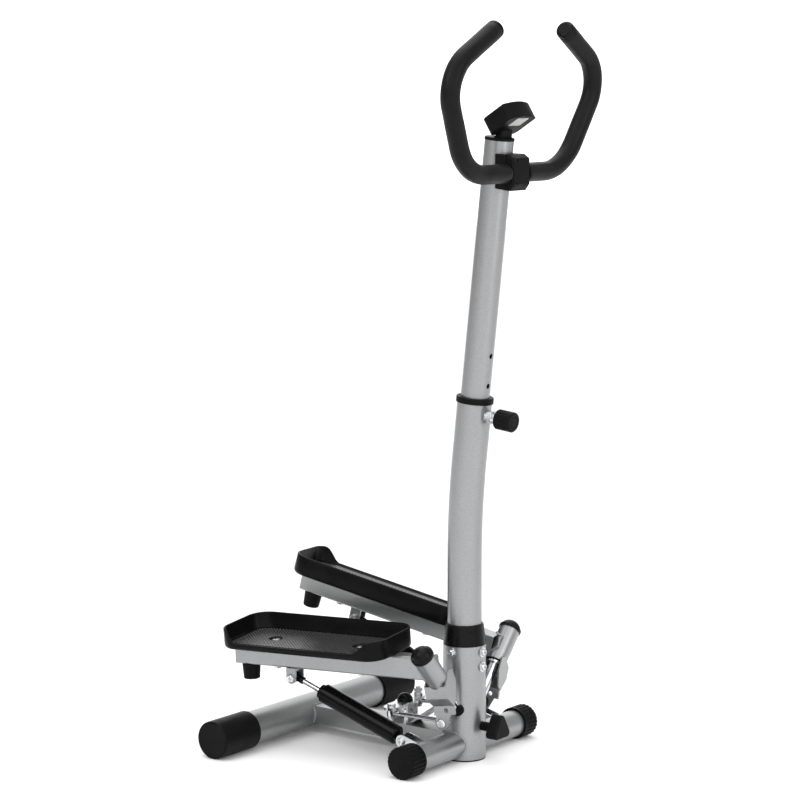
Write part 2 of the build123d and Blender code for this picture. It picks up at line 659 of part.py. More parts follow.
# the rim sweeps down to a low lip along the outer side, in an S curve at each end
lip_ends = [(tray_front + 14, tray_front + 62), (tray_rear - 8, tray_rear - 42)]
sweep_steps = 8
lip_cut = []
for high_s, low_s in lip_ends:
    sweep = [(high_s + (low_s - high_s) * i / sweep_steps,
              tray_top + (tray_lip - tray_top) * (1 - cos(radians(180 * i / sweep_steps))) / 2)
             for i in range(sweep_steps + 1)]
    lip_cut += sweep if low_s > high_s else reversed(sweep)
lip_outline = make_face(Polyline(*[(s, h - tray_base) for s, h in lip_cut], close=True))
lip_depth = 45.0
tray -= Pos(0, tray_out + 1, 0) * extrude(Plane.XZ * lip_outline, lip_depth)
boss = Cylinder(12, tray_floor - floor_t - arm_bottom - arm_h, align=stand)
# the bolt heads sit in pockets, level with the floor
bolt_head_d = 15.0
bolt_head_h = 4.0
bolt_reach = tray_floor - bolt_head_h - 0.5
pocket = Cylinder(bolt_head_d / 2 + 1, tray_top - bolt_reach, align=stand)
pedal_bolt = pan_head(bolt_head_d, bolt_head_h, 8, bolt_reach - 1)
tray_place = Pos(0, 0, tray_base) * Rot(tray_roll, 0, tray_yaw)
tray = tray_place * tray
under_tray = Pos(0, 0, arm_bottom + arm_h)
for s in pedal_bolts:
    tray += under_tray * Pos(s, 0, 0) * boss
    tray -= Pos(s, 0, arm_bottom) * Cylinder(4.2, 2 * arm_h, align=stand)
    tray -= Pos(s, 0, bolt_reach) * pocket
tray -= Pos(0, 0, arm_bottom + arm_h) * Box(2 * tray_len, arm_w + 2, 20, align=hang)
arm_parts["pedal_tray"] = arm_plane * tray
for s in pedal_bolts:
    arm_fasteners.append(arm_plane * Pos(s, 0, bolt_reach) * pedal_bolt)
    arm_fasteners.append(arm_plane * Pos(s, 0, arm_bottom) * Rot(180, 0, 0) * hex_nut(14, 5, 8))
arm_parts["arm_fasteners"] = group(arm_fasteners)

for name, shape in arm_parts.items():
    add(name + "_right", shape)
    add(name + "_left", mirror(shape.rotate(axle_axis, -step_swing), about=mirror_x))

# ---------------------------------------------------------------- fixed axles and what holds them
axle_low = along(axle_top, axle_dir, -sleeve_len - 80)
axle_nut_h = 4.0
axle = rod(axle_low, along(axle_top, axle_dir, bush_flange + axle_nut_h + 0.5), axle_d) - post_solid
thrust_at = -sleeve_len - bush_flange
axle += rod(along(axle_top, axle_dir, thrust_at - 4), along(axle_top, axle_dir, thrust_at), 30)
axle += top_end * Pos(0, 0, bush_flange) * extrude(RegularPolygon(12, 6), axle_nut_h)
both_sides("arm_axles", axle)

# stop buffers on the post, behind the levers
buffer_turn = -70
buffer = Cylinder(9.5, 12, align=stand)
buffer = fillet(buffer.edges().sort_by(Axis.Z)[-1], 3)
both_sides("lever_buffers", on_post(buffer_turn, 93.4) * Pos(0, 0, -3) * buffer - post_solid - axle)

# gusset from the spine up to the post
gusset_w = 16.0
gusset = prism([(122, 40), (115, 40), (30, 97), (30, 104)], gusset_w) - post_solid
spine_outer = spine_plane * Box(spine_w, spine_h, spine_run.length, align=stand)
add("rocker_bracket", gusset - spine_outer)

# stand on the spine that carries the rocker: a square loop of strip, open to both sides
stand_w = 30.0
stand_len = 34.0
stand_t = 4.0
stand_gap = 0.3
stand_top = rocker_z - stand_gap
stand_seat = 30.0
rocker_stand = Pos(0, rocker_y, stand_seat) * Box(stand_w, stand_len, stand_top - stand_seat, align=stand)
rocker_stand -= Pos(0, rocker_y, stand_seat) * Box(
    2 * stand_w, stand_len - 2 * stand_t, stand_top - stand_t - stand_seat, align=stand)
rocker_stand -= spine_outer + gusset
stud_d = 12.0
stud_head_d = 20.0
stud_head = 6.0
rocker_bore = rod((0, rocker_y, 0), (0, rocker_y, 200), stud_d)
add("rocker_stand", rocker_stand - rocker_bore)
stud_low = stand_top - stand_t
stud = rod((0, rocker_y, stud_low - stud_head - 2), (0, rocker_y, rocker_z + rocker_t + stud_head), stud_d)
stud += rod((0, rocker_y, rocker_z + rocker_t + stand_gap), (0, rocker_y, rocker_z + rocker_t + stud_head),
            stud_head_d)
stud += rod((0, rocker_y, stud_low - stud_head), (0, rocker_y, stud_low), stud_head_d)
frame_fasteners.append(stud)

# ---------------------------------------------------------------- rocker and tie rods
up = Vector(0, 0, 1)
rocker_axis = Axis((0, rocker_y, 0), (0, 0, 1))
rocker_rest = rocker_turn * half_swing
rocker = SlotCenterToCenter(2 * rocker_r, rocker_w) + Circle(rocker_w * 0.62)
rocker = Pos(0, rocker_y, rocker_z) * extrude(rocker, rocker_t)
rocker -= rod((0, rocker_y, 0), (0, rocker_y, 200), stud_d + 2 * slide_play)
tie_pin_d = 8.0
pin_low = rocker_z - 12
tie_pins = []
for side in (-1, 1):
    spot = (side * rocker_r, rocker_y)
    rocker -= rod((*spot, 0), (*spot, 200), tie_pin_d)
    top = rocker_z + rocker_t
    tie_pin = rod((*spot, pin_low), (*spot, top + 5 if side < 0 else top + 15), tie_pin_d)
    tie_pin += rod((*spot, pin_low - 4), (*spot, pin_low), 14)
    tie_pin += Pos(*spot, top) * extrude(RegularPolygon(7.5, 6), 5)
    if side > 0:
        tie_pin += Pos(*spot, top + 6.5) * extrude(RegularPolygon(7.5, 6), 5)
    tie_pins.append(tie_pin)
dome_h2 = dome_cap_d / 2
dome_cap = Pos(0, rocker_y, rocker_z + rocker_t) * (
    (Sphere(dome_cap_d / 2) & Cylinder(dome_cap_d, dome_h2 * 2, align=stand))
    - Cylinder(10.6, 9, align=stand))
add("rocker_plate", rocker.rotate(rocker_axis, rocker_rest))
add("rocker_pins", group(p.rotate(rocker_axis, rocker_rest) for p in tie_pins))
add("rocker_cap", dome_cap)

tie_low = pin_low + 0.3
tie_high = rocker_z - 0.3
tie_mid = (tie_low + tie_high) / 2
tie_from = (-rocker_r, rocker_y, tie_mid)
tie_to = (lever_tip[0] + lever_eye_in, lever_tip[1], tie_eye_z)
tie_line = Vector(*tie_to) - Vector(*tie_from)
tie_neck = tie_eye_d / 2 - 1.5
tie = rod(along(tie_from, tie_line, tie_neck), along(tie_to, tie_line, -tie_neck), tie_d)
tie += rod((-rocker_r, rocker_y, tie_low), (-rocker_r, rocker_y, tie_high), tie_eye_d)
tie += rod((tie_to[0] - tie_eye_w / 2, tie_to[1], tie_to[2]),
           (tie_to[0] + tie_eye_w / 2, tie_to[1], tie_to[2]), tie_eye_d)
tie -= rod((-rocker_r, rocker_y, 0), (-rocker_r, rocker_y, 200), tie_pin_d + 2 * slide_play)
tie -= rod((-120, tie_to[1], tie_to[2]), (0, tie_to[1], tie_to[2]), pivot_bolt_d + 2 * tie_play)
tie_axis = Axis(tie_from, (0, 0, 1))


def turned_tie(arm_turn):
    # arm_turn is counted from the level pose
    return tie.rotate(tie_axis, tie_turn * arm_turn).rotate(rocker_axis, rocker_turn * arm_turn)


add("tie_rod_right", turned_tie(half_swing))
add("tie_rod_left", mirror(turned_tie(-half_swing), about=mirror_x))

# ---------------------------------------------------------------- cylinders
foot_axis = Axis(cyl_foot, cyl_turn_axis)
cyl_eye = along(cyl_foot, cyl_dir, cyl_eye_len)
cyl_plane = Plane(origin=cyl_foot, x_dir=(0, -cyl_dir[2], cyl_dir[1]), z_dir=cyl_dir)
bore_r = cyl_bore_d / 2
barrel = Pos(0, 0, cyl_body_from) * Cylinder(cyl_body_d / 2, cyl_body_to - cyl_body_from, align=stand)
barrel = fillet(barrel.edges().sort_by(Axis.Z)[0], 4)
barrel = fillet(barrel.edges().sort_by(Axis.Z)[-1], 2)
barrel -= Pos(0, 0, cyl_body_from + 6) * Cylinder(bore_r, cyl_body_to, align=stand)
gland_t = 14.0
gland = Pos(0, 0, cyl_body_to - 8) * Cylinder(bore_r, 8, align=stand)
gland += Pos(0, 0, cyl_body_to) * Cylinder(bore_r - 1, gland_t - 8, align=stand)
gland -= Pos(0, 0, cyl_body_from) * Cylinder(rod_d / 2 + slide_play, 2 * cyl_body_to, align=stand)
foot_ball = Sphere(eye_d / 2 + 0.5) + Cylinder(7, cyl_body_from, align=stand)
foot_ball = cyl_plane * foot_ball


def eye_at(centre, direction, d, w, hole, eye):
    # trims a ball to a flat-sided eye with a hole along the given direction
    a = along(centre, direction, -w / 2)
    b = along(centre, direction, w / 2)
    keep = rod(a, b, 3 * d)
    return (eye & keep) - rod(along(centre, direction, -w), along(centre, direction, w), hole)


level_bolt = Vector(1, 0, 0)
foot_bolt_dir = level_bolt.rotate(Axis((0, 0, 0), cyl_turn_axis), cyl_turn * half_swing)
foot_ball = eye_at(cyl_foot, tuple(foot_bolt_dir), eye_d, foot_eye_w, pivot_bolt_d + 2 * foot_eye_play,
                   foot_ball)
foot_neck = cyl_plane * Pos(0, 0, cyl_body_from + 1) * Cylinder(bore_r - 2, 6, align=stand)
barrel = cyl_plane * (barrel + gland) + (foot_ball - foot_neck)
piston = Cylinder(bore_r - slide_play, 12, align=stand)
rod_low = cyl_eye_len - rod_len
rod_solid = Pos(0, 0, rod_low) * (piston + Cylinder(rod_d / 2, rod_len - eye_d / 2 + 2, align=stand))
eye_ball = cyl_plane * Pos(0, 0, cyl_eye_len) * (Sphere(eye_d / 2) + Cylinder(6.5, 18, align=hang))
arm_out = tuple(arm_plane.y_dir)
rod_eye = eye_at(cyl_eye, arm_out, eye_d, eye_w, pivot_bolt_d + 2 * eye_play, eye_ball)
rod_solid = cyl_plane * rod_solid
rod_parts = {
    "piston_rod": rod_solid - rod_eye,
    "rod_eye": rod_eye - rod_solid,
}


def swing_cylinder(shape, arm_turn, sliding):
    stroke = 1000 * cyl_stroke * radians(arm_turn) if sliding else 0
    moved = shape.moved(Location(Vector(*cyl_dir) * stroke))
    return moved.rotate(foot_axis, cyl_turn * arm_turn)


add("cylinder_barrel_right", barrel)
add("cylinder_barrel_left", mirror(swing_cylinder(barrel, -step_swing, False), about=mirror_x))
for name, shape in rod_parts.items():
    add(name + "_right", shape)
    add(name + "_left", mirror(swing_cylinder(shape, -step_swing, True), about=mirror_x))

# ears on the front tube that carry the cylinder feet
ear_x = foot_ear_gap / 2 + foot_ear_t / 2
ear_outline = make_hull((Pos(cyl_foot[1], cyl_foot[2]) * Circle(foot_ear_r)).edges()
                        + (Pos(0, front_z) * Circle(foot_ear_r + 6)).edges())
ears = []
for side in (-1, 1):
    at = Plane.YZ.offset(cyl_foot[0] + side * ear_x)
    ear = extrude(at * ear_outline, foot_ear_t / 2, both=True)
    ear -= rod((-front_half, 0, front_z), (0, 0, front_z), front_tube_d)
    ear -= rod((-front_half, cyl_foot[1], cyl_foot[2]), (0, cyl_foot[1], cyl_foot[2]), pivot_bolt_d)
    ears.append(ear)
add("cylinder_ears", group(pair(ears[0]) + pair(ears[1])))
foot_grip = foot_ear_gap + 2 * foot_ear_t
foot_bolt_plane = Plane(origin=cyl_foot, z_dir=(-1, 0, 0))
foot_bolt = foot_bolt_plane * Pos(0, 0, foot_grip / 2) * pan_head(14, 5, pivot_bolt_d, foot_grip + 5)
foot_nut = foot_bolt_plane * Pos(0, 0, -foot_grip / 2) * Rot(180, 0, 0) * hex_nut(14, 5, pivot_bolt_d)
frame_fasteners += pair(foot_bolt) + pair(foot_nut)
add("frame_fasteners", group(frame_fasteners))

# ---------------------------------------------------------------- step height adjuster on the post
screw_r = 5.0
adjust_plane = Plane(origin=(0, 0, adjust_z), x_dir=(1, 0, 0), z_dir=(0, -1, 0))
parts["post_tube"] = parts["post_tube"] - adjust_plane * Cylinder(screw_r + slide_play, post_d, align=stand)
shaft = adjust_plane * Pos(0, 0, 20) * Cylinder(screw_r, -adjust_knob_y + 10 - 20, align=stand)
sleeve_from = post_d / 2 + 0.7
sleeve = adjust_plane * Pos(0, 0, sleeve_from) * Cylinder(8, -adjust_knob_y - sleeve_from, align=stand)
add("adjuster_screw", shaft)
lobe_r = 8.0
lobe_at = 16.5
lobes = make_hull([e for i in range(3) for e in (
    Rot(0, 0, 90 + i * 120) * Pos(lobe_at, 0) * Circle(lobe_r)).edges()])
knob = extrude(lobes, adjust_knob_t)
knob = fillet(knob.edges().group_by(Axis.Z)[-1], 3)
knob = fillet(knob.edges().group_by(Axis.Z)[0], 2)
knob = adjust_plane * Pos(0, 0, -adjust_knob_y) * knob + sleeve
add("adjuster_knob", knob - shaft)

# ---------------------------------------------------------------- export
centre = Location((0, post_y, 0))
for name, shape in parts.items():
    export_step(group([shape.moved(centre)]), f"parts/{name}.step")
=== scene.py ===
import json
import math

import bmesh
import bpy
from mathutils import Matrix, Vector
from mathutils.geometry import tessellate_polygon


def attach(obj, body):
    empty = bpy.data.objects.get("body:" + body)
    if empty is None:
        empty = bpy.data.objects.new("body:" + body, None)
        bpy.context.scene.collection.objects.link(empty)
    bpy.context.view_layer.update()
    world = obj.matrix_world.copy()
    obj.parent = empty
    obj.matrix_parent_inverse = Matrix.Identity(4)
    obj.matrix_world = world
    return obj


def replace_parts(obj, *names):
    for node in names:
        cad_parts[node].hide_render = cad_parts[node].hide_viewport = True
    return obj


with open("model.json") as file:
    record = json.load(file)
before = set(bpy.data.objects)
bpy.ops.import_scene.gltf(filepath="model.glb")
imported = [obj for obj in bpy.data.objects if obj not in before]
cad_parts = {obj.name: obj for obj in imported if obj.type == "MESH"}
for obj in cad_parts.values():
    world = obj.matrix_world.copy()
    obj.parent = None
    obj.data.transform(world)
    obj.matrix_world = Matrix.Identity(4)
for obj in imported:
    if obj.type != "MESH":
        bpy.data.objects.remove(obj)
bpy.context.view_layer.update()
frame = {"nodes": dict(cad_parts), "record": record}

nodes = frame["nodes"]

# ---------------------------------------------------------------- camera
# fitted to the photograph: a long lens off the machine's front right corner
CAMERA_AT = (-3.5959, -2.6953, 1.2157)
CAMERA_TURN = math.radians(-52.9606)
CAMERA_TILT = math.radians(7.5079)
CAMERA_ROLL = math.radians(-0.199)
LENS_MM = 116.19
SENSOR_MM = 36
SIGHT = 50


def make_camera():
    right = Vector((math.cos(CAMERA_TURN), math.sin(CAMERA_TURN), 0))
    back = Vector((math.sin(CAMERA_TURN) * math.cos(CAMERA_TILT),
                   -math.cos(CAMERA_TURN) * math.cos(CAMERA_TILT), math.sin(CAMERA_TILT)))
    up = back.cross(right)
    rolled_right = right * math.cos(CAMERA_ROLL) + up * math.sin(CAMERA_ROLL)
    rolled_up = up * math.cos(CAMERA_ROLL) - right * math.sin(CAMERA_ROLL)
    turn = Matrix((rolled_right, rolled_up, back)).transposed().to_4x4()
    data = bpy.data.cameras.new("camera")
    data.lens = LENS_MM
    data.sensor_width = SENSOR_MM
    data.clip_end = SIGHT
    camera = bpy.data.objects.new("camera", data)
    camera.matrix_world = Matrix.Translation(CAMERA_AT) @ turn
    bpy.context.collection.objects.link(camera)
    bpy.context.scene.camera = camera


make_camera()

# ---------------------------------------------------------------- materials
# most of a noise's values lie between these two
NOISE_LOW = 0.3
NOISE_HIGH = 0.7


def new_material(name):
    mat = bpy.data.materials.new(name)
    mat.use_nodes = True
    tree = mat.node_tree
    return mat, tree, tree.nodes["Principled BSDF"]


def coords(tree):
    return tree.nodes.new("ShaderNodeTexCoord").outputs["Object"]


def noise(tree, coord, scale, detail):
    tex = tree.nodes.new("ShaderNodeTexNoise")
    tex.inputs["Scale"].default_value = scale
    tex.inputs["Detail"].default_value = detail
    tree.links.new(coord, tex.inputs["Vector"])
    return tex.outputs["Fac"]


def ramp(tree, fac, low, high, start=NOISE_LOW, end=NOISE_HIGH):
    """Spreads a factor between two colours."""
    node = tree.nodes.new("ShaderNodeValToRGB")
    node.color_ramp.elements[0].position = start
    node.color_ramp.elements[1].position = end
    node.color_ramp.elements[0].color = (*low, 1)
    node.color_ramp.elements[1].color = (*high, 1)
    tree.links.new(fac, node.inputs["Fac"])
    return node.outputs["Color"]


def spread(tree, fac, low, high, start=NOISE_LOW, end=NOISE_HIGH):
    """Spreads a factor between two values."""
    node = tree.nodes.new("ShaderNodeMapRange")
    node.inputs["From Min"].default_value = start
    node.inputs["From Max"].default_value = end
    node.inputs["To Min"].default_value = low
    node.inputs["To Max"].default_value = high
    tree.links.new(fac, node.inputs["Value"])
    return node.outputs["Result"]


def bump(tree, height, strength, distance, normal=None):
    node = tree.nodes.new("ShaderNodeBump")
    node.inputs["Strength"].default_value = strength
    node.inputs["Distance"].default_value = distance
    tree.links.new(height, node.inputs["Height"])
    if normal is not None:
        tree.links.new(normal, node.inputs["Normal"])
    return node.outputs["Normal"]


def soft_edges(tree, radius):
    """Edges broken by a small radius, as on any moulded or painted part."""
    node = tree.nodes.new("ShaderNodeBevel")
    node.samples = 4
    node.inputs["Radius"].default_value = radius
    return node.outputs["Normal"]


def plain_finish(name, dark, light, rough, grain, depth, patch, edge=0.0006, metallic=0.0,
                 specular=0.5, sheen=0.0, wave=0.0, wave_scale=60.0):
    """Two close colours in soft patches, uneven roughness, fine grain, orange peel with wave."""
    mat, tree, shader = new_material(name)
    place = coords(tree)
    tree.links.new(ramp(tree, noise(tree, place, patch, 5), dark, light),
                   shader.inputs["Base Color"])
    tree.links.new(spread(tree, noise(tree, place, patch * 3, 6), *rough),
                   shader.inputs["Roughness"])
    normal = bump(tree, noise(tree, place, grain, 2), 0.35, depth, soft_edges(tree, edge))
    if wave:
        normal = bump(tree, noise(tree, place, wave_scale, 1), 0.25, wave, normal)
    tree.links.new(normal, shader.inputs["Normal"])
    shader.inputs["Metallic"].default_value = metallic
    shader.inputs["Specular IOR Level"].default_value = specular
    shader.inputs["Sheen Weight"].default_value = sheen
    return mat


def flake_paint():
    """Silver metallic powder coat: tiny flakes under a satin surface with a faint orange peel."""
    mat, tree, shader = new_material("silver_paint")
    place = coords(tree)
    flakes = tree.nodes.new("ShaderNodeTexVoronoi")
    flakes.inputs["Scale"].default_value = 1600
    tree.links.new(place, flakes.inputs["Vector"])
    grey = tree.nodes.new("ShaderNodeSeparateColor")
    tree.links.new(flakes.outputs["Color"], grey.inputs["Color"])
    colour = ramp(tree, grey.outputs["Red"], (0.27, 0.273, 0.277), (0.36, 0.363, 0.368), 0, 1)
    tree.links.new(colour, shader.inputs["Base Color"])
    tree.links.new(spread(tree, noise(tree, place, 9, 5), 0.30, 0.38), shader.inputs["Roughness"])
    peel = bump(tree, noise(tree, place, 220, 2), 0.25, 0.00012, soft_edges(tree, 0.0008))
    tree.links.new(bump(tree, grey.outputs["Green"], 0.12, 0.00006, peel), shader.inputs["Normal"])
    shader.inputs["Metallic"].default_value = 0.85
    shader.inputs["Coat Weight"].default_value = 0.15
    shader.inputs["Coat Roughness"].default_value = 0.25
    return mat


def display_window():
    """The console's clear grey-green window, glossy under a clear coat."""
    mat, tree, shader = new_material("display_window")
    place = coords(tree)
    tree.links.new(ramp(tree, noise(tree, place, 40, 3), (0.27, 0.31, 0.27), (0.31, 0.35, 0.31)),
                   shader.inputs["Base Color"])
    tree.links.new(spread(tree, noise(tree, place, 90, 5), 0.06, 0.14), shader.inputs["Roughness"])
    tree.links.new(bump(tree, noise(tree, place, 500, 2), 0.1, 0.00003), shader.inputs["Normal"])
    shader.inputs["Coat Weight"].default_value = 1.0
    shader.inputs["Coat Roughness"].default_value = 0.04
    return mat


SILVER = flake_paint()
ZINC = plain_finish("zinc_plate", (0.55, 0.56, 0.57), (0.72, 0.73, 0.74), (0.20, 0.36), grain=700,
                    depth=0.00008, patch=60, edge=0.0004, metallic=1.0, wave=0.00015, wave_scale=90)
CHROME = plain_finish("polished_steel", (0.62, 0.62, 0.63), (0.74, 0.74, 0.75), (0.06, 0.16),
                      grain=1500, depth=0.00003, patch=40, edge=0.0004, metallic=1.0)
PLASTIC = plain_finish("black_plastic", (0.0028, 0.0028, 0.003), (0.006, 0.006, 0.0062),
                       (0.36, 0.50), grain=1100, depth=0.00018, patch=22, edge=0.0009,
                       specular=0.07)
GLOSS = plain_finish("black_gloss_plastic", (0.0025, 0.0025, 0.0027), (0.005, 0.005, 0.0052),
                     (0.20, 0.30), grain=600, depth=0.00005, patch=22, edge=0.0009, specular=0.12)
RUBBER = plain_finish("black_rubber", (0.0035, 0.0035, 0.0035), (0.008, 0.008, 0.0078),
                      (0.5, 0.66), grain=800, depth=0.0002, patch=30, specular=0.08)
FOAM = plain_finish("foam", (0.0032, 0.0032, 0.003), (0.0075, 0.0073, 0.007), (0.36, 0.46),
                    grain=650, depth=0.0003, patch=26, specular=0.12, sheen=0.01, wave=0.0004,
                    wave_scale=120)
ENAMEL = plain_finish("black_enamel", (0.002, 0.002, 0.002), (0.004, 0.004, 0.004), (0.18, 0.26),
                      grain=500, depth=0.00003, patch=20, specular=0.09, wave=0.0002, wave_scale=70)
OXIDE = plain_finish("black_oxide_steel", (0.012, 0.012, 0.013), (0.03, 0.03, 0.032), (0.3, 0.45),
                     grain=900, depth=0.00006, patch=50, edge=0.0004, metallic=0.8, specular=0.3)
GREY = plain_finish("grey_plastic", (0.42, 0.42, 0.41), (0.50, 0.50, 0.49), (0.4, 0.55),
                    grain=900, depth=0.00012, patch=30)
TRAY = plain_finish("tray_plastic", (0.0025, 0.0025, 0.0027), (0.005, 0.005, 0.0052), (0.24, 0.34),
                    grain=1300, depth=0.0001, patch=18, edge=0.0008, specular=0.08)
NET = plain_finish("net_plastic", (0.006, 0.006, 0.006), (0.012, 0.012, 0.012), (0.16, 0.26),
                   grain=1500, depth=0.00005, patch=30, edge=0.0003, specular=0.6)

# a finish for each material slot, and the nodes that differ from their slot
FINISH = {"silver_paint": SILVER, "zinc": ZINC, "bright_steel": CHROME, "black_plastic": PLASTIC,
          "black_rubber": RUBBER, "foam": FOAM, "black_enamel": ENAMEL, "grey_plastic": GREY,
          "lens": display_window()}
SPECIAL = {"grip_plugs": GLOSS, "rocker_cap": GLOSS, "post_collar": GLOSS,
           "sleeve_cap_right": GLOSS, "sleeve_cap_left": GLOSS, "clamp_screws": OXIDE}

for part in frame["record"]["subparts"]:
    finish = SPECIAL.get(part["node"], FINISH[part["material_slot"]])
    for place in nodes[part["node"]].material_slots:
        place.material = finish

# ---------------------------------------------------------------- where things are
# lengths are millimetres unless a name or comment says otherwise
MM = 0.001
ARM_SWING = next(joint for joint in frame["record"]["behaviour"]["joints"]
                 if joint["name"] == "right_arm_swing")
AXLE_AT = Vector(ARM_SWING["pos_m"])
AXLE_DIR = Vector(ARM_SWING["axis"])
STEP_SWING = math.radians(ARM_SWING["range_deg"][0])
POST_Y = frame["record"]["mounts"][0]["pos_m"][1]


def at_post(x, y, z):
    """From millimetres about the foot of the post to metres in the row frame."""
    return Vector((x * MM, y * MM + POST_Y, z * MM))


# the arm's own frame: s towards the rear, w outward, h up
ARM_ORIGIN = (-124.65, 226.2, 143.6)
ARM_S = Vector((-0.1097, 0.9932, -0.0386)).normalized()
ARM_H = ARM_S.cross(Vector((-0.9940, -0.1097, 0))).normalized()
ARM_W = ARM_H.cross(ARM_S)
ARM = (Matrix.Translation(at_post(*ARM_ORIGIN))
       @ Matrix((ARM_S, ARM_W, ARM_H)).transposed().to_4x4() @ Matrix.Scale(MM, 4))

# the tray is pitched and turned a little on the arm, about a point this high
TRAY_BASE = 46.0
TRAY_PITCH = math.radians(4.2)
TRAY_TURN = math.radians(0.9)
TRAY_TILT = (Matrix.Translation((0, 0, TRAY_BASE)) @ Matrix.Rotation(-TRAY_PITCH, 4, "X")
             @ Matrix.Rotation(-TRAY_TURN, 4, "Z") @ Matrix.Translation((0, 0, -TRAY_BASE)))

# the left side is the right one mirrored, at the other end of its stroke
OTHER_ARM = (Matrix.Scale(-1, 4, (1, 0, 0)) @ Matrix.Translation(AXLE_AT)
             @ Matrix.Rotation(STEP_SWING, 4, AXLE_DIR) @ Matrix.Translation(-AXLE_AT))
SIDES = {"right": Matrix.Identity(4), "left": OTHER_ARM}


def angles(count):
    """Evenly spaced angles round a full turn."""
    return [math.tau * k / count for k in range(count)]


def arc(centre, radius, start, end, steps):
    """Points on an arc, both ends among them."""
    turns = [start + (end - start) * i / steps for i in range(steps + 1)]
    return [(centre[0] + radius * math.cos(t), centre[1] + radius * math.sin(t)) for t in turns]


def straight(a, b, steps, chosen):
    """The chosen ones of the points that cut the line from a to b into equal steps."""
    return [tuple(p + (q - p) * i / steps for p, q in zip(a, b)) for i in chosen]


def box_corners(xs, ys, radius, inset, steps):
    """The four rounded corners of a rectangle, each a list of points, in order round it."""
    centres = ((xs[1] - radius, ys[1] - radius), (xs[0] + radius, ys[1] - radius),
               (xs[0] + radius, ys[0] + radius), (xs[1] - radius, ys[0] + radius))
    return [arc(centre, radius - inset, math.radians(90 * k), math.radians(90 * (k + 1)), steps)
            for k, centre in enumerate(centres)]


def loft(bm, rings):
    """Joins closed rings of equally many points with quads."""
    made = [[bm.verts.new(p) for p in ring] for ring in rings]
    count = len(rings[0])
    for a, b in zip(made, made[1:]):
        for i in range(count):
            bm.faces.new((a[i], a[(i + 1) % count], b[(i + 1) % count], b[i]))


def fill(bm, loops):
    """Fills the first loop of points with triangles and leaves the other loops open."""
    verts = [bm.verts.new(p) for loop in loops for p in loop]
    for tri in tessellate_polygon(loops):
        bm.faces.new([verts[i] for i in tri])


def new_piece(name, bm, material, body, smooth=True):
    """Turns a finished bmesh into a piece of the object riding on a body."""
    bmesh.ops.recalc_face_normals(bm, faces=bm.faces)
    mesh = bpy.data.meshes.new(name)
    bm.to_mesh(mesh)
    bm.free()
    for face in mesh.polygons:
        face.use_smooth = smooth
    mesh.materials.append(material)
    piece = bpy.data.objects.new(name, mesh)
    bpy.context.collection.objects.link(piece)
    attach(piece, body)
    return piece


# ---------------------------------------------------------------- pedal trays
TRAY_S = (-165.0, 173.0)
TRAY_W = (-71.0, 65.0)
TRAY_R = 35.0
TRAY_TOP = 82.0
TRAY_LIP = 57.5
TRAY_FLOOR = 54.0
TRAY_WALL = 4.0
PLATE_T = 3.5
CORNER_STEPS = 12
SIDE_STEPS = 60
END_STEPS = 10
SHELL_MERGE = 0.01

# the rim dips outward of this line, between these pairs of a high and a low place along s
DIP_FROM_W = 21
DIPS = ((TRAY_S[0] + 14, TRAY_S[0] + 62), (TRAY_S[1] - 8, TRAY_S[1] - 42))

# the wall's section: (inset, height), (inset, below the rim), (beyond the wall, above the floor)
SKIRT = ((TRAY_WALL, TRAY_FLOOR - PLATE_T), (TRAY_WALL, 48.0), (2.9, 46.8), (1.3, 48.2),
         (0.4, 50.2), (0, 52.4))
RIM_ROUND = ((0, 1.9), (0.3, 0.95), (1.0, 0.25))
FLOOR_ROUND = ((0.25, 1.3), (1.1, 0.4), (2.4, 0), (8.0, 0))

BOLTS_S = (-88.0, 88.0)
POCKET_R = 8.5
POCKET_LOW = 49.5
POCKET_SIDES = 28

# the anti-slip net: square cells on their points; a cell's rings are (share of the cell, rise)
NET_HALF = 3.4
NET_RISE = 0.9
NET_RINGS = ((1.0, NET_RISE), (0.62, NET_RISE * 0.9), (0.5, 0.02))
NET_BORDER = TRAY_WALL + 9.5
NET_BOLT_GAP = 4.5
NET_MERGE = 0.05


def tray_outline(inset):
    """Points (s, w) round the tray, equally many at every inset."""
    corners = box_corners(TRAY_S, TRAY_W, TRAY_R, inset, CORNER_STEPS)
    points = []
    for k, corner in enumerate(corners):
        steps = SIDE_STEPS if k % 2 == 0 else END_STEPS
        points += corner + straight(corner[-1], corners[(k + 1) % 4][0], steps, range(1, steps))
    return points


def rim_height(s, w):
    """The rim is tall round the inner side and the ends and dips in an S along the outer side."""
    if w < DIP_FROM_W:
        return TRAY_TOP
    for high, low in DIPS:
        t = (s - high) / (low - high)
        if t <= 0:
            return TRAY_TOP
        if t < 1:
            return TRAY_TOP + (TRAY_LIP - TRAY_TOP) * (1 - math.cos(math.pi * t)) / 2
    return TRAY_LIP


def rim_profile(top):
    """(inset, height) from the underside, round the wall and the rim, to the floor's border."""
    outside = [(inset, top - below) for inset, below in RIM_ROUND]
    inside = [(TRAY_WALL - inset, top - below) for inset, below in reversed(RIM_ROUND)]
    border = [(TRAY_WALL + beyond, TRAY_FLOOR + above) for beyond, above in FLOOR_ROUND]
    return [*SKIRT, *outside, (TRAY_WALL / 2, top), *inside, *border]


def bolt_spots():
    """Where the bolts pass the tray: they stay on the arm's line while the tray is turned."""
    return [(s * math.cos(TRAY_TURN), s * math.sin(TRAY_TURN)) for s in BOLTS_S]


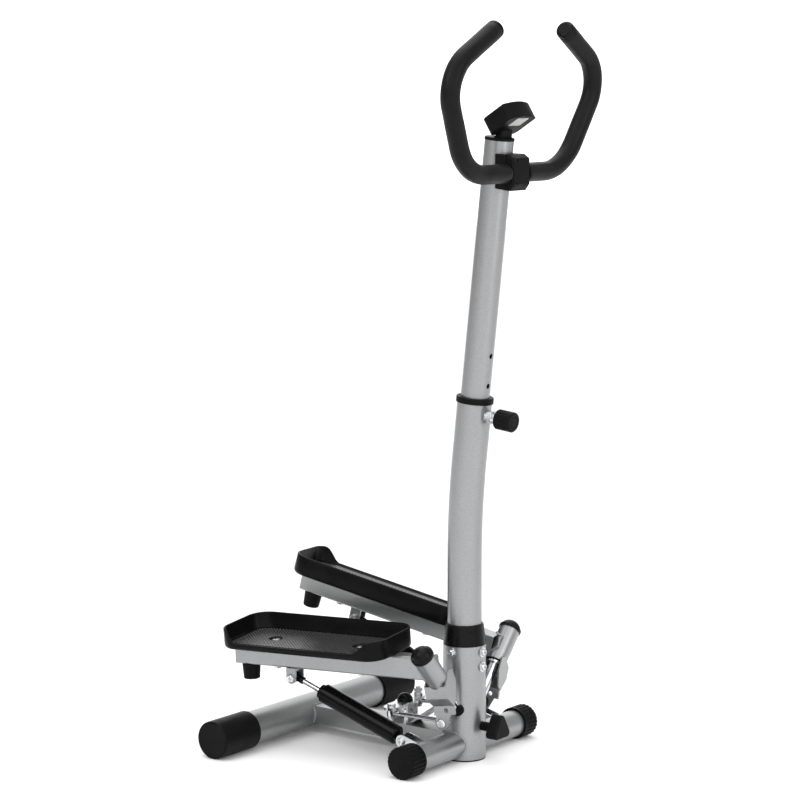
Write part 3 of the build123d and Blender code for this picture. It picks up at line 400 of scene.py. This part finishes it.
def tray_shell(side, place):
    bm = bmesh.new()
    rings = []
    for level in zip(*(rim_profile(rim_height(s, w)) for s, w in tray_outline(0))):
        outline = tray_outline(level[0][0])
        rings.append([(s, w, height) for (s, w), (_, height) in zip(outline, level)])
    loft(bm, rings)
    pockets = [[Vector((cs + POCKET_R * math.cos(t), cw + POCKET_R * math.sin(t), TRAY_FLOOR))
                for t in angles(POCKET_SIDES)] for cs, cw in bolt_spots()]
    fill(bm, [[Vector((s, w, TRAY_FLOOR)) for s, w, _ in rings[-1]]] + pockets)
    for pocket in pockets:
        bottom = [Vector((p.x, p.y, POCKET_LOW)) for p in pocket]
        loft(bm, [pocket, bottom])
        bm.faces.new([bm.verts.new(p) for p in bottom])
    fill(bm, [[Vector((s, w, TRAY_FLOOR - PLATE_T)) for s, w, _ in rings[0]]])
    bmesh.ops.remove_doubles(bm, verts=bm.verts, dist=SHELL_MERGE)
    bm.transform(place)
    tray = new_piece("tray_shell_" + side, bm, TRAY, side + "_arm")
    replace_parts(tray, "pedal_tray_" + side)


def net_fits(s, w):
    """Whether a place is inside the net's rounded border."""
    ds = max(TRAY_S[0] + TRAY_R - s, s - TRAY_S[1] + TRAY_R, 0)
    dw = max(TRAY_W[0] + TRAY_R - w, w - TRAY_W[1] + TRAY_R, 0)
    return math.hypot(ds, dw) < TRAY_R - NET_BORDER


def net_cells():
    """The middles of the net's cells, in rows that are staggered by half a cell."""
    for j in range(int((TRAY_W[1] - TRAY_W[0]) / NET_HALF) + 1):
        for i in range(int((TRAY_S[1] - TRAY_S[0]) / (2 * NET_HALF)) + 1):
            yield TRAY_S[0] + NET_HALF * (2 * i + j % 2), TRAY_W[0] + NET_HALF * j


def tray_net(side, place):
    bm = bmesh.new()
    tips = [(NET_HALF, 0), (0, NET_HALF), (-NET_HALF, 0), (0, -NET_HALF)]
    for cs, cw in net_cells():
        near_bolt = any(math.hypot(cs - bs, cw - bw) < POCKET_R + NET_BOLT_GAP
                        for bs, bw in bolt_spots())
        if not near_bolt and all(net_fits(cs + a, cw + b) for a, b in tips):
            loft(bm, [[(cs + a * share, cw + b * share, TRAY_FLOOR + rise) for a, b in tips]
                      for share, rise in NET_RINGS])
    bmesh.ops.remove_doubles(bm, verts=bm.verts, dist=NET_MERGE)
    # the net's outer strands get a side that comes down to the floor
    middle = TRAY_FLOOR + NET_RISE / 2
    edges = [e for e in bm.edges if e.is_boundary and min(v.co.z for v in e.verts) > middle]
    for item in bmesh.ops.extrude_edge_only(bm, edges=edges)["geom"]:
        if isinstance(item, bmesh.types.BMVert):
            item.co.z = TRAY_FLOOR
    bm.transform(place)
    new_piece("tray_net_" + side, bm, NET, side + "_arm", smooth=False)


for side, mirrored in SIDES.items():
    tray_shell(side, mirrored @ ARM @ TRAY_TILT)
    tray_net(side, mirrored @ ARM @ TRAY_TILT)

# ---------------------------------------------------------------- foam grips
# half the handlebar in its own leaning plane, (x, up): flat, low bend, straight, high bend, tip
BAR_Y = -103.5
BAR_Z = 1026.0
BAR_LEAN = math.radians(7.7)
FOAM_START = 27.0
BAR_FLAT = 89.0
LOW_R = 90.8
HIGH_R = 64.5
HIGH_X = 209.6 - HIGH_R
HIGH_UP = 141.9
TIP = (105.4, 239.6)
TUBE_R = 11.0
FOAM_R = 16.5
FOAM_SIDES = 40
# the rounding of the foam's ends: (radius, distance from the end)
FOAM_ENDS = ((TUBE_R + 0.1, 0.0), (14.0, 0.0), (15.6, 0.35), (16.3, 1.2))


def bar_at(x, up):
    return at_post(x, BAR_Y - up * math.sin(BAR_LEAN), BAR_Z + up * math.cos(BAR_LEAN))


def bar_line():
    """(x, up) along half the handlebar, from the start of the foam to the tip."""
    across, rise = HIGH_X - BAR_FLAT, HIGH_UP - LOW_R
    low_turn = math.atan2(rise, across) + math.asin((LOW_R - HIGH_R) / math.hypot(across, rise))
    join = low_turn - math.pi / 2
    dx, dz = TIP[0] - HIGH_X, TIP[1] - HIGH_UP
    leave = math.asin(HIGH_R / math.hypot(dx, dz)) - math.atan2(dx, dz)
    low = arc((BAR_FLAT, LOW_R), LOW_R, -math.pi / 2, join, 24)
    high = arc((HIGH_X, HIGH_UP), HIGH_R, join, leave, 30)
    return (straight((FOAM_START, 0), (BAR_FLAT, 0), 16, range(16)) + low
            + straight(low[-1], high[0], 12, range(1, 12)) + high
            + straight(high[-1], TIP, 6, range(1, 7)))


def foam_grip(side, sign):
    points = [bar_at(sign * x, up) for x, up in bar_line()]
    across = Vector((0, math.cos(BAR_LEAN), math.sin(BAR_LEAN)))
    last = len(points) - 1

    def ring(i, radius, shift=0.0):
        ahead = (points[min(i + 1, last)] - points[max(i - 1, 0)]).normalized()
        side_way = across.cross(ahead)
        middle = points[i] + ahead * shift * MM
        return [middle + (across * math.cos(t) + side_way * math.sin(t)) * radius * MM
                for t in angles(FOAM_SIDES)]

    rings = [ring(0, radius, shift) for radius, shift in FOAM_ENDS]
    run = 0.0
    for i in range(1, last):
        run += (points[i] - points[i - 1]).length
        uneven = 0.12 * math.sin(run * 47) + 0.08 * math.sin(run * 131 + 1)
        rings.append(ring(i, FOAM_R - 0.15 + uneven))
    rings += [ring(last, radius, -shift) for radius, shift in reversed(FOAM_ENDS)]
    bm = bmesh.new()
    loft(bm, rings)
    grip = new_piece("foam_grip_" + side, bm, FOAM, "upper_mast_body")
    return grip


for side, sign in (("right", -1), ("left", 1)):
    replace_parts(foam_grip(side, sign), "foam_grips")

# ---------------------------------------------------------------- weld beads
# the tubes that meet, as in the CAD
POST_R = 37.5
FRONT_R = 24.0
FRONT_UP = 28.5
REAR_R = 30.0
REAR_Y = 346.7
REAR_UP = 33.7
SPINE_HALF = (25.0, 16.0)
SPINE_CORNER = 1.0
ARM_HALF = (16.0, 20.0)
ARM_CORNER = 4.0
ARM_TUBE_AT = (-60.0, 0.0, 26.5)
AXLE_TUBE_R = 19.0

BEAD_R = 2.0
BEAD_SIDES = 8
# metres along the bead
BEAD_STEP = 0.0006
BEAD_RIPPLE = 0.0026
BEAD_MERGE = 0.000001


def hit(start, way, base, axis, radius):
    """Where a straight line from start first meets a round tube, all in metres."""
    d = way - axis * way.dot(axis)
    m = (start - base) - axis * (start - base).dot(axis)
    a, b, c = d.dot(d), 2 * m.dot(d), m.dot(m) - radius * radius
    root = max(b * b - 4 * a * c, 0.0)
    return start + way * ((-b - math.sqrt(root)) / (2 * a))


def weld(name, loop, body, place):
    """A rippled bead along a closed loop of points, in metres."""
    spots = []
    for a, b in zip(loop, loop[1:] + loop[:1]):
        steps = max(1, int((b - a).length / BEAD_STEP))
        spots += [a.lerp(b, k / steps) for k in range(steps)]
    middle = sum(spots, Vector()) / len(spots)
    ripples = max(8, round(len(spots) * BEAD_STEP / BEAD_RIPPLE))
    rings = []
    for i, spot in enumerate(spots):
        ahead = (spots[(i + 1) % len(spots)] - spots[i - 1]).normalized()
        out = spot - middle
        out = (out - ahead * out.dot(ahead)).normalized()
        up = ahead.cross(out)
        phase = math.tau * ripples * i / len(spots)
        radius = BEAD_R * MM * (1 + 0.13 * math.cos(phase) + 0.07 * math.sin(0.37 * phase + 1))
        rings.append([spot + (out * math.cos(t) + up * math.sin(t)) * radius
                      for t in angles(BEAD_SIDES)])
    rings.append(rings[0])
    bm = bmesh.new()
    loft(bm, rings)
    bmesh.ops.remove_doubles(bm, verts=bm.verts, dist=BEAD_MERGE)
    bm.transform(place)
    new_piece(name, bm, SILVER, body)


def box_loop(centre, across, up, half, corner):
    """Points round a rounded rectangular tube, in metres."""
    corners = box_corners((-half[0], half[0]), (-half[1], half[1]), corner, 0, 6)
    loop = [centre + (across * x + up * y) * MM for points in corners for x, y in points]
    return [a.lerp(b, k / 6) for a, b in zip(loop, loop[1:] + loop[:1]) for k in range(6)]


def weld_all():
    here = SIDES["right"]
    up = Vector((0, 0, 1))
    side_way = Vector((1, 0, 0))
    post = at_post(0, 0, 0)
    for side, sign in (("right", -1), ("left", 1)):
        starts = [at_post(sign * 120, FRONT_R * math.cos(t), FRONT_UP + FRONT_R * math.sin(t))
                  for t in angles(60)]
        weld("front_tube_weld_" + side,
             [hit(p, -sign * side_way, post, up, POST_R * MM) for p in starts], "frame", here)
    run = Vector((0, REAR_Y, REAR_UP - FRONT_UP)).normalized()
    centre = at_post(0, 200, FRONT_UP + 200 * run.z / run.y)
    edge = box_loop(centre, side_way, run.cross(-side_way), SPINE_HALF, SPINE_CORNER)
    weld("spine_post_weld", [hit(p, -run, post, up, POST_R * MM) for p in edge], "frame", here)
    rear = at_post(0, REAR_Y, REAR_UP)
    weld("spine_rear_weld", [hit(p, run, rear, side_way, REAR_R * MM) for p in edge], "frame", here)
    edge = box_loop(ARM @ Vector(ARM_TUBE_AT), ARM_W, ARM_H, ARM_HALF, ARM_CORNER)
    loop = [hit(p, -ARM_S, AXLE_AT, AXLE_DIR, AXLE_TUBE_R * MM) for p in edge]
    for side, mirrored in SIDES.items():
        weld("arm_weld_" + side, loop, side + "_arm", mirrored)


weld_all()

# ---------------------------------------------------------------- studio
# everything here is in metres
FLOOR_HALF = 12.0
LIT_AT = (0, 0, 0.6)
WORLD_STRENGTH = 1.6


def make_floor():
    mesh = bpy.data.meshes.new("floor")
    corners = [(x * FLOOR_HALF, y * FLOOR_HALF, 0) for x, y in ((-1, -1), (1, -1), (1, 1), (-1, 1))]
    mesh.from_pydata(corners, [], [(0, 1, 2, 3)])
    floor = bpy.data.objects.new("floor", mesh)
    bpy.context.collection.objects.link(floor)
    mat, tree, shader = new_material("floor_paint")
    colour = ramp(tree, noise(tree, coords(tree), 3, 4), (0.93, 0.93, 0.93), (0.95, 0.95, 0.95))
    tree.links.new(colour, shader.inputs["Base Color"])
    shader.inputs["Roughness"].default_value = 0.8
    floor.data.materials.append(mat)


def flag(sky, way, towards, darkest):
    """A soft dark patch of the sky towards one side, as a factor."""
    dot = sky.nodes.new("ShaderNodeVectorMath")
    dot.operation = "DOT_PRODUCT"
    dot.inputs[1].default_value = towards
    sky.links.new(way, dot.inputs[0])
    shade = spread(sky, dot.outputs["Value"], 1.0, darkest, start=0.31, end=0.66)
    shade.node.interpolation_type = "SMOOTHSTEP"
    return shade


def make_world():
    """White all round, with dark flags on two sides that shade the edges of the tubes."""
    world = bpy.data.worlds.new("studio")
    bpy.context.scene.world = world
    world.use_nodes = True
    sky = world.node_tree
    way = sky.nodes.new("ShaderNodeTexCoord").outputs["Generated"]
    both = sky.nodes.new("ShaderNodeMath")
    both.operation = "MULTIPLY"
    sky.links.new(flag(sky, way, (-0.53, 0.848, 0.05), 0.25), both.inputs[0])
    sky.links.new(flag(sky, way, (0.669, -0.743, 0.05), 0.38), both.inputs[1])
    sky.links.new(both.outputs["Value"], sky.nodes["Background"].inputs["Color"])
    sky.nodes["Background"].inputs["Strength"].default_value = WORLD_STRENGTH


def area_light(name, at, size, power):
    data = bpy.data.lights.new(name, "AREA")
    data.shape = "RECTANGLE"
    data.size = size[0]
    data.size_y = size[1]
    data.energy = power
    lamp = bpy.data.objects.new(name, data)
    lamp.location = at
    lamp.rotation_euler = (Vector(LIT_AT) - Vector(at)).to_track_quat("-Z", "Y").to_euler()
    bpy.context.collection.objects.link(lamp)


make_floor()
make_world()
area_light("key", (-2.6, 0.6, 2.4), (1.2, 2.0), 30)
area_light("front", (-0.2, -3.2, 1.6), (1.2, 2.4), 22)
area_light("top", (0, 0.3, 3.2), (2.5, 2.5), 25)
bpy.context.scene.view_settings.view_transform = "Standard"
